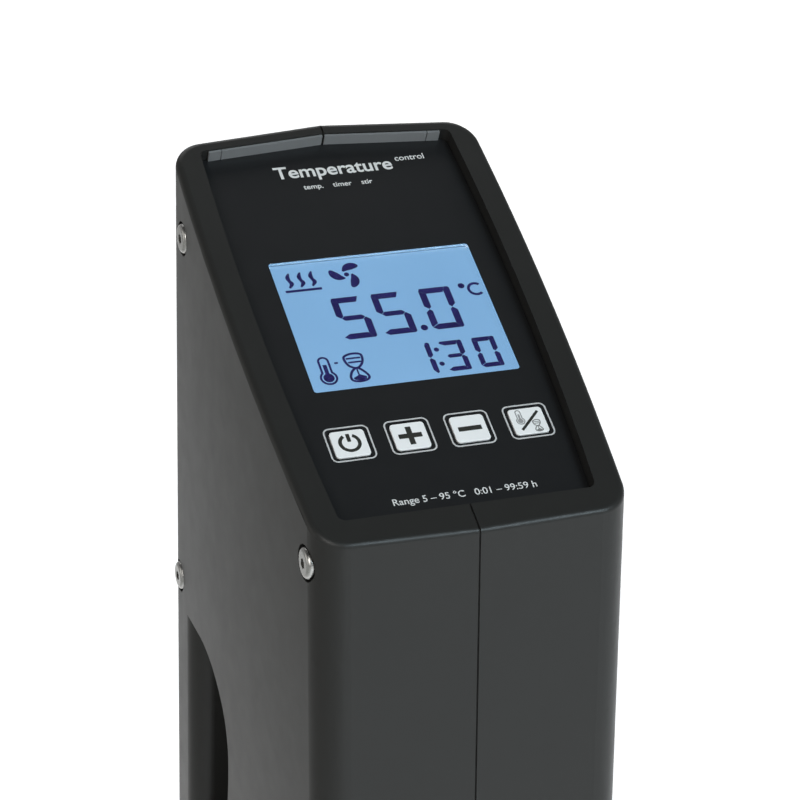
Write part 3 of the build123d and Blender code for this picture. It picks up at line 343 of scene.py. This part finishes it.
def ribbon(points, widths):
    """Outline of a stroke of varying width along a line."""
    left, right = [], []
    for i, (u, v) in enumerate(points):
        before = points[max(i - 1, 0)]
        after = points[min(i + 1, len(points) - 1)]
        du, dv = after[0] - before[0], after[1] - before[1]
        length = math.hypot(du, dv)
        nu, nv = -dv / length * widths[i] / 2, du / length * widths[i] / 2
        left.append((u + nu, v + nv))
        right.append((u - nu, v - nv))
    return left + right[::-1]


def scaled(loops, u, v, share):
    """Loops scaled about the origin and then moved."""
    return [[(u + x * share, v + y * share) for x, y in loop] for loop in loops]


def flat_piece(name, loops, level, thickness, material, body):
    """Thin plate of closed loops on the sloped face, its underside at a level."""
    curve = bpy.data.curves.new(name, "CURVE")
    curve.dimensions = "2D"
    curve.fill_mode = "BOTH"
    curve.extrude = thickness / 2 * MM
    for loop in loops:
        spline = curve.splines.new("POLY")
        spline.points.add(len(loop) - 1)
        for point, (u, v) in zip(spline.points, loop):
            point.co = (u * MM, v * MM, 0, 1)
        spline.use_cyclic_u = True
    return settle(name, curve, level, thickness, material, body)


def settle(name, curve, level, thickness, material, body):
    """Turn a curve or text into a mesh piece on the sloped face, riding on a body."""
    maker = bpy.data.objects.new(name + "_maker", curve)
    bpy.context.scene.collection.objects.link(maker)
    bpy.context.view_layer.update()
    mesh = bpy.data.meshes.new_from_object(maker.evaluated_get(bpy.context.evaluated_depsgraph_get()))
    bpy.data.objects.remove(maker)
    mesh.transform(slope_frame @ Matrix.Translation((0, 0, (level + thickness / 2) * MM)))
    mesh.materials.clear()
    mesh.materials.append(material)
    mesh.name = name
    piece = bpy.data.objects.new(name, mesh)
    bpy.context.scene.collection.objects.link(piece)
    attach(piece, body)
    return piece


# ---- Display contents ----
SEGMENTS = {"0": "abcdef", "1": "bc", "3": "abcdg", "5": "acdfg"}


def digit(char, u, v, width, height, thick):
    """Outlines of a seven-segment digit's lit bars, from its lower left corner."""
    w, h, t, half = width, height, thick, height / 2
    gap = 0.09
    bars = {
        "a": [(0, h - 0.42 * t), (0.2 * t, h), (w - 0.76 * t, h), (w - 1.15 * t, h - t), (t, h - t)],
        "b": [
            (w - 0.76 * t + gap, h), (w - 0.25 * t, h), (w, h - 0.25 * t), (w, half + 0.6 * t),
            (w - 0.62 * t, half + gap), (w - t, half + 0.38 * t), (w - t, h - 0.62 * t),
        ],
        "c": [
            (w - t, half - 0.38 * t), (w - 0.62 * t, half - gap), (w, half - 0.6 * t),
            (w, 0.25 * t), (w - 0.25 * t, 0), (w - 0.4 * t, 0), (w - t, 0.85 * t),
        ],
        "d": [(w - 0.4 * t - gap, 0), (w - 1.1 * t - gap, t), (t, t), (0.1 * t, 0.45 * t), (0.75 * t, 0)],
        "e": [
            (0, half - 0.6 * t), (0.62 * t, half - gap), (t, half - 0.38 * t),
            (t, 1.12 * t), (0.12 * t, 0.55 * t), (0, 0.75 * t),
        ],
        "f": [
            (0, h - 0.42 * t - gap), (t, h - t - gap), (t, half + 0.38 * t),
            (0.62 * t, half + gap), (0, half + 0.6 * t),
        ],
        "g": [
            (0.7 * t, half), (1.12 * t, half + 0.42 * t), (w - 1.12 * t, half + 0.42 * t),
            (w - 0.7 * t, half), (w - 1.12 * t, half - 0.42 * t), (1.12 * t, half - 0.42 * t),
        ],
    }
    return [[(u + x, v + y) for x, y in bars[name]] for name in SEGMENTS[char]]


def smooth(points, steps=6):
    """Points of a curve through the given ones (values of any length)."""
    line = []
    for i in range(len(points) - 1):
        before, first = points[max(i - 1, 0)], points[i]
        second, after = points[i + 1], points[min(i + 2, len(points) - 1)]
        for step in range(steps):
            t = step / steps
            line.append(tuple(
                0.5 * (2 * b + (c - a) * t + (2 * a - 5 * b + 4 * c - d) * t * t
                       + (3 * b - a - 3 * c + d) * t * t * t)
                for a, b, c, d in zip(before, first, second, after)
            ))
    return line + [points[-1]]


def swept(points, u, v):
    """Stroke through points given as (u, v, width) about a place."""
    line = smooth(points)
    return ribbon([(u + x, v + y) for x, y, _ in line], [max(w, 0.1) for _, _, w in line])


def heat_icon(u, v):
    """Three rising flames over a bar, from the bar's left end."""
    loops = [rounded(u + 5.97, v, 11.94, 0.95, 0.3)]
    flame = [(1.77, 1.43, 0.6), (2.86, 3.05, 1.4), (2.41, 4.37, 1.1), (2.19, 5.87, 1.4), (2.87, 7.59, 0.5)]
    return loops + [swept(flame, u + 3.75 * i, v) for i in range(3)]


def propeller_icon(u, v):
    """Three swirling blades round a hub."""
    loops = [circle(u, v, 0.85, 20)]
    blade = [(-0.7, 1.6, 0.6), (1.0, 2.7, 2.5), (2.8, 3.0, 2.8), (4.4, 2.7, 1.7), (5.0, 2.55, 0.5)]
    for turn in (8, 128, 248):
        c, d = math.cos(math.radians(turn)), math.sin(math.radians(turn))
        loops.append(swept([(x * c - y * d, x * d + y * c, w) for x, y, w in blade], u, v))
    return loops


def thermometer_outline(u, v, grow):
    """Tube and bulb in one outline; the bulb's centre is at u, v."""
    bulb, tube, top = 2.85 + grow, 1.88 + grow, 8.6 + grow
    lean = math.degrees(math.asin(tube / bulb))
    return arc(u, v, bulb, 90 - lean, lean - 270, 40) + arc(u, v + top - tube, tube, 180, 0, 16)


def thermometer_icon(u, v):
    """Thermometer with its filled bulb and column."""
    column = [(u - 0.63, v + 0.8), (u + 0.63, v + 0.8), (u + 0.63, v + 5.3), (u - 0.63, v + 5.3)]
    bulb = circle(u, v, 1.75, 28)
    return [thermometer_outline(u, v, 0), thermometer_outline(u, v, -0.7), bulb], [column]


def closed_stroke(points, thick):
    """Inner and outer outline of a closed line."""
    line = smooth(points + points[:1], 5)[:-1]
    outer, inner = [], []
    for i, (x, y) in enumerate(line):
        before, after = line[i - 1], line[(i + 1) % len(line)]
        du, dv = after[0] - before[0], after[1] - before[1]
        length = math.hypot(du, dv)
        nu, nv = -dv / length * thick / 2, du / length * thick / 2
        outer.append((x + nu, y + nv))
        inner.append((x - nu, y - nv))
    return [outer, inner]


def hourglass_icon(u, v):
    """Sand glass about its neck: striped upper bulb, lower bulb with a mound of sand."""
    upper = [
        (-0.6, 0.1), (-2.1, 1.2), (-2.85, 3.2), (-2.75, 4.9), (-1, 5.75), (0.75, 5.9),
        (2.3, 5.6), (2.95, 4.8), (2.75, 2.8), (1.9, 1.2), (0.6, 0.1),
    ]
    lower = [
        (-0.6, -0.1), (-1.9, -1.4), (-2.75, -3.3), (-2.4, -4.8), (-0.5, -5.4),
        (1.9, -5.1), (3.0, -4.0), (2.3, -2.1), (0.6, -0.1),
    ]
    stripes = [rounded(0, 4.06, 4.7, 0.65, 0.25), rounded(0.1, 2.46, 4.2, 0.65, 0.25)]
    mound = [(-2.1, -3.9), (0.26, -2.65), (2.3, -3.7), (2.0, -4.6), (0.2, -5.1), (-1.7, -4.6)]
    stream = [(-0.25, -0.1), (0.25, -0.1), (0.25, -2.7), (-0.25, -2.7)]
    groups = (closed_stroke(upper, 0.8), closed_stroke(lower, 0.8), stripes, [mound, stream])
    return [[[(u + x, v + y) for x, y in loop] for loop in group] for group in groups]


def letter_c(u, v, radius, thick):
    """Open ring for the unit's C."""
    return arc(u, v, radius, 48, 312, 30) + arc(u, v, radius - thick, 312, 48, 30)


def make_display():
    """The lit marks on the display's face, moved to where they show through the window."""
    glyphs = {
        "temperature": [
            *digit("5", -16.8, 80.7, 10.7, 17.5, 2.25),
            *digit("5", -3.6, 80.7, 10.7, 17.5, 2.25),
            *digit("0", 12.25, 80.7, 10.45, 17.5, 2.25),
            circle(9.65, 82.1, 1.17),
        ],
        "unit": [circle(26.85, 97.7, 1.1), letter_c(31.2, 95.8, 2.82, 0.95)],
        "timer": [
            *digit("1", 1.5, 63.2, 7.45, 12.6, 1.72),
            *digit("3", 12.05, 63.2, 7.45, 12.4, 1.72),
            *digit("0", 22.87, 63.2, 7.45, 12.4, 1.72),
            circle(10.63, 72.6, 0.85, 20),
            circle(10.62, 66.7, 0.85, 20),
        ],
        "heating": heat_icon(-29.8, 103.03),
        "stirring": propeller_icon(-8.45, 107.7),
        "degree_dash": [rounded(-22.24, 71.96, 1.2, 0.65, 0.2)],
    }
    outline, column = thermometer_icon(-26.1, 66.4)
    glyphs["thermometer"] = outline
    glyphs["thermometer_column"] = column
    for number, group in enumerate(hourglass_icon(-16.5, 69.05)):
        glyphs[f"hourglass_{number}"] = group
    for name, loops in glyphs.items():
        moved = scaled(loops, *DISPLAY_SHIFT, 1)
        level = DISPLAY_GAP - GLASS_DEPTH
        flat_piece("display_" + name, moved, level, DISPLAY_STROKE, materials["mark"], "root")


# ---- Keys and panel print ----
def key_centre(index):
    """Centre of a key on the panel."""
    return KEY_ROW[0] + (index - 1.5) * KEY_PITCH, KEY_ROW[1]


def key_mark(key, name, loops, ink_name):
    """Mark printed on a key's face; it travels with the key."""
    level = KEY_TOP + FILM_GAP
    flat_piece(f"{key}_{name}", loops, level, FILM, materials[ink_name], key + "_body")


def make_keys():
    """The symbol on each key's face and the printed frame round the key."""
    u, v = key_centre(0)
    ring = arc(u, v + 0.15, 3.55, 118, 422, 40) + arc(u, v + 0.15, 2.45, 422, 118, 40)
    stem = rounded(u, v + 2.1, 1.15, 3.0, 0.15)
    key_mark("key_power", "symbol_0", [ring], "dark_ink")
    key_mark("key_power", "symbol_1", [stem], "dark_ink")
    u, v = key_centre(1)
    wide, tall, half = 3.7, 3.45, 0.87
    cross = [
        (-half, tall), (half, tall), (half, half), (wide, half), (wide, -half), (half, -half),
        (half, -tall), (-half, -tall), (-half, -half), (-wide, -half), (-wide, half), (-half, half),
    ]
    key_mark("key_plus", "symbol_0", scaled([cross], u, v, 1), "dark_ink")
    u, v = key_centre(2)
    key_mark("key_minus", "symbol_0", [rounded(u, v - 0.1, 7.5, 1.7, 0.1)], "dark_ink")
    u, v = key_centre(3)
    slash = ribbon([(u - 3.07, v - 3.4), (u + 3.9, v + 3.35)], [0.87, 0.87])
    key_mark("key_mode", "symbol_0", [slash], "dark_ink")
    outline, column = thermometer_icon(0, 0)
    key_mark("key_mode", "thermometer", scaled(outline, u - 2.48, v + 0.18, 0.5), "grey_ink")
    key_mark("key_mode", "column", scaled(column, u - 2.48, v + 0.18, 0.5), "grey_ink")
    for number, group in enumerate(hourglass_icon(0, 0)):
        key_mark("key_mode", f"hourglass_{number}", scaled(group, u + 2.24, v - 2.4, 0.4), "pale_ink")
    level = FILM_GAP - RECESS_DEPTH
    for index, name in enumerate(KEYS):
        u, v = key_centre(index)
        loops = [rounded(u, v, 14.25, 13.25, 2.1), rounded(u, v, 13.25, 12.25, 1.6)]
        flat_piece(name + "_frame", loops, level, FILM, materials["frame_ink"], "root")


def panel_text(name, words, u, v, size, weight):
    """Plain generic lettering printed on the panel, centred on a point."""
    text = bpy.data.curves.new(name, "FONT")
    text.body = words
    text.size = size * MM
    text.align_x = "CENTER"
    text.align_y = "CENTER"
    text.offset = weight * MM
    text.extrude = FILM / 2 * MM
    level = FILM_GAP - RECESS_DEPTH
    piece = settle(name, text, level, FILM, materials["white_ink"], "root")
    piece.data.transform(slope_frame @ Matrix.Translation((u * MM, v * MM, 0)) @ slope_frame.inverted())


def make_print():
    """Generic words above the display and the range below the keys."""
    panel_text("print_title", "Temperature", 0.6, 154.0, 7.5, 0.13)
    panel_text("print_note", "control", 27.4, 156.2, 3.5, 0.02)
    panel_text("print_units", "temp.    timer    stir", 0.15, 147.0, 2.9, 0.03)
    panel_text("print_range", "Range 5 – 95 °C   0:01 – 99:59 h", 1.75, 16.0, 3.45, 0.02)


# ---- Finer shapes than the CAD's ----
def threaded_spindle():
    """Clamp screw with a rolled thread, in place of the plain CAD rod."""
    low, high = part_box("clamp_spindle")
    centre_z = (low.z + high.z) / 2
    radius = (high.x - low.x) / 2
    pitch, depth = 1.5 * MM, 0.75 * MM
    pin_end = low.y + 6.3 * MM      # the plain pin that holds the shoe
    slack = 0.02 * MM               # crests inside the CAD's cylinder
    run_out = 8                     # rings over which the thread fades at each end
    steps_round, steps_along = 32, 10
    rings = int((high.y - pin_end) / pitch * steps_along)
    mesh = bmesh.new()
    rows = []
    pin = 4.0 * MM
    chamfer = 0.6 * MM
    profile = [(low.y, 0.0), (low.y, pin - chamfer), (low.y + chamfer, pin), (pin_end, pin)]
    angles = [2 * math.pi * i / steps_round for i in range(steps_round)]
    for y, reach in profile:
        rows.append([
            mesh.verts.new((reach * math.cos(t), y, centre_z + reach * math.sin(t))) for t in angles
        ])
    for ring in range(rings + 1):
        y = pin_end + (high.y - pin_end) * ring / rings
        row = []
        ends = min(ring / run_out, (rings - ring) / run_out, 1.0)
        for i, t in enumerate(angles):
            phase = ((y - pin_end) / pitch + i / steps_round) % 1.0
            groove = abs(2 * phase - 1)
            reach = radius - depth * (1 - groove) * ends - slack
            row.append(mesh.verts.new((reach * math.cos(t), y, centre_z + reach * math.sin(t))))
        rows.append(row)
    for first, second in zip(rows, rows[1:]):
        for i in range(steps_round):
            j = (i + 1) % steps_round
            mesh.faces.new((first[i], first[j], second[j], second[i]))
    mesh.faces.new(rows[-1])
    bmesh.ops.remove_doubles(mesh, verts=rows[0], dist=1e-7)
    bmesh.ops.recalc_face_normals(mesh, faces=mesh.faces)
    data = bpy.data.meshes.new("clamp_thread")
    mesh.to_mesh(data)
    mesh.free()
    data.materials.append(materials["polished"])
    piece = bpy.data.objects.new("clamp_thread", data)
    bpy.context.scene.collection.objects.link(piece)
    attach(piece, "clamp_screw")
    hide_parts("clamp_spindle")


def soften_edges():
    """Small rounds on the moulded and pressed parts' sharp edges."""
    widths = {
        "clamp_bracket": 0.3, "base_plate": 0.3,
        "cage_base": 0.2, "pump_housing": 0.3, "mains_inlet": 0.25,
    }
    for name, width in widths.items():
        weld = nodes[name].modifiers.new("weld", "WELD")
        weld.merge_threshold = 1e-6
        bevel = nodes[name].modifiers.new("edge", "BEVEL")
        bevel.width = width * MM
        bevel.segments = 2
        bevel.limit_method = "ANGLE"
        bevel.angle_limit = math.radians(40)
        bevel.harden_normals = True


# ---- Stage, light and camera ----
def make_floor():
    """Plain pale floor that runs far behind the object, with painted shade on its left: darker, warmer and
    glowing less there, so that the housing's side reflects less light.
    """
    size = 6.0
    data = bpy.data.meshes.new("floor")
    corners = [(-size, -size, 0), (size, -size, 0), (size, size, 0), (-size, size, 0)]
    data.from_pydata(corners, [], [(0, 1, 2, 3)])
    floor = bpy.data.objects.new("floor", data)
    bpy.context.scene.collection.objects.link(floor)
    material, tree, shader = new_material("floor_pale")
    fine = noise(tree, coordinates(tree), 14, 3)
    pale = mix_colour(tree, fine, (0.86, 0.86, 0.86), (0.9, 0.9, 0.9))
    split = tree.nodes.new("ShaderNodeSeparateXYZ")
    tree.links.new(coordinates(tree), split.inputs["Vector"])
    # painted shade: left of the housing the floor is darker, warmer and glows less, which dims and warms
    # the reflection in the housing's side
    painted_light_share = spread(tree, split.outputs["X"], 0.0, 1.0, -0.35, -0.1)
    painted_floor_shade = mix_colour(tree, painted_light_share, (0.40, 0.395, 0.37), (0.88, 0.88, 0.88))
    tint = tree.nodes.new("ShaderNodeMix")
    tint.data_type = "RGBA"
    tint.inputs["Factor"].default_value = 0.8
    tree.links.new(pale, tint.inputs["A"])
    tree.links.new(painted_floor_shade, tint.inputs["B"])
    tree.links.new(tint.outputs["Result"], shader.inputs["Base Color"])
    shader.inputs["Roughness"].default_value = 0.8
    shader.inputs["Emission Color"].default_value = (1, 1, 1, 1)
    tree.links.new(spread(tree, painted_light_share, 0.12, 0.68, 0.0, 1.0), shader.inputs["Emission Strength"])
    data.materials.append(material)


def area_light(name, place, target, size, energy, colour):
    """Soft square light of a colour aimed at a point."""
    light = bpy.data.lights.new(name, "AREA")
    light.shape = "SQUARE"
    light.size = size
    light.energy = energy
    light.color = colour
    lamp = bpy.data.objects.new(name, light)
    lamp.location = place
    lamp.rotation_euler = (Vector(target) - Vector(place)).to_track_quat("-Z", "Y").to_euler()
    bpy.context.scene.collection.objects.link(lamp)


def make_lights():
    """Soft studio light: warm from the left, cool from the front, and one on the floor behind."""
    middle = (0, 0, 0.3)
    area_light("key", (-1.3, -1.5, 1.5), middle, 1.1, 18, (1, 0.98, 0.94))
    area_light("front", (0.9, -2.0, 1.7), middle, 0.8, 34, (0.74, 0.91, 1))
    area_light("left", (-2.2, 0.5, 0.7), middle, 1.3, 4, (1, 0.98, 0.92))
    area_light("back", (0.4, 2.6, 2.2), (0, 1.6, 0), 2.4, 26, (1, 1, 1))
    world = bpy.data.worlds.new("studio")
    bpy.context.scene.world = world
    world.use_nodes = True
    tree = world.node_tree
    background = tree.nodes["Background"]
    source = tree.nodes.new("ShaderNodeTexCoord")
    split = tree.nodes.new("ShaderNodeSeparateXYZ")
    tree.links.new(source.outputs["Generated"], split.inputs["Vector"])
    level = spread(tree, split.outputs["Z"], 0.0, 1.0, 0.0, 0.75)
    sky = mix_colour(tree, level, (0.55, 0.55, 0.55), (0.08, 0.08, 0.08))
    tree.links.new(sky, background.inputs["Color"])
    background.inputs["Strength"].default_value = 0.8


def make_camera():
    """Camera at the picture's angle on the housing's top."""
    azimuth, elevation, roll = math.radians(19.459), math.radians(21.467), math.radians(0.346)
    distance, lens = 0.85325, 122.07
    aim_shift = (-0.00183, -0.01300)
    forward = Vector((
        math.sin(azimuth) * math.cos(elevation),
        math.cos(azimuth) * math.cos(elevation),
        -math.sin(elevation),
    ))
    level_right = Vector((math.cos(azimuth), -math.sin(azimuth), 0))
    level_up = level_right.cross(forward)
    right = level_right * math.cos(roll) + level_up * math.sin(roll)
    up = level_up * math.cos(roll) - level_right * math.sin(roll)
    target = Vector((0, front_y + HALF_DEPTH * MM, front_edge_z))
    place = target - (forward + right * aim_shift[0] + up * aim_shift[1]) * distance
    data = bpy.data.cameras.new("camera")
    data.lens = lens
    data.sensor_width = 36.0
    camera = bpy.data.objects.new("camera", data)
    turn = Matrix((right, up, -forward)).transposed().to_4x4()
    camera.matrix_world = Matrix.Translation(place) @ turn
    bpy.context.scene.collection.objects.link(camera)
    bpy.context.scene.camera = camera


make_camera()
dress_nodes()
soften_edges()
make_display()
make_keys()
make_print()
threaded_spindle()
make_floor()
make_lights()
bpy.context.scene.view_settings.view_transform = "Standard"
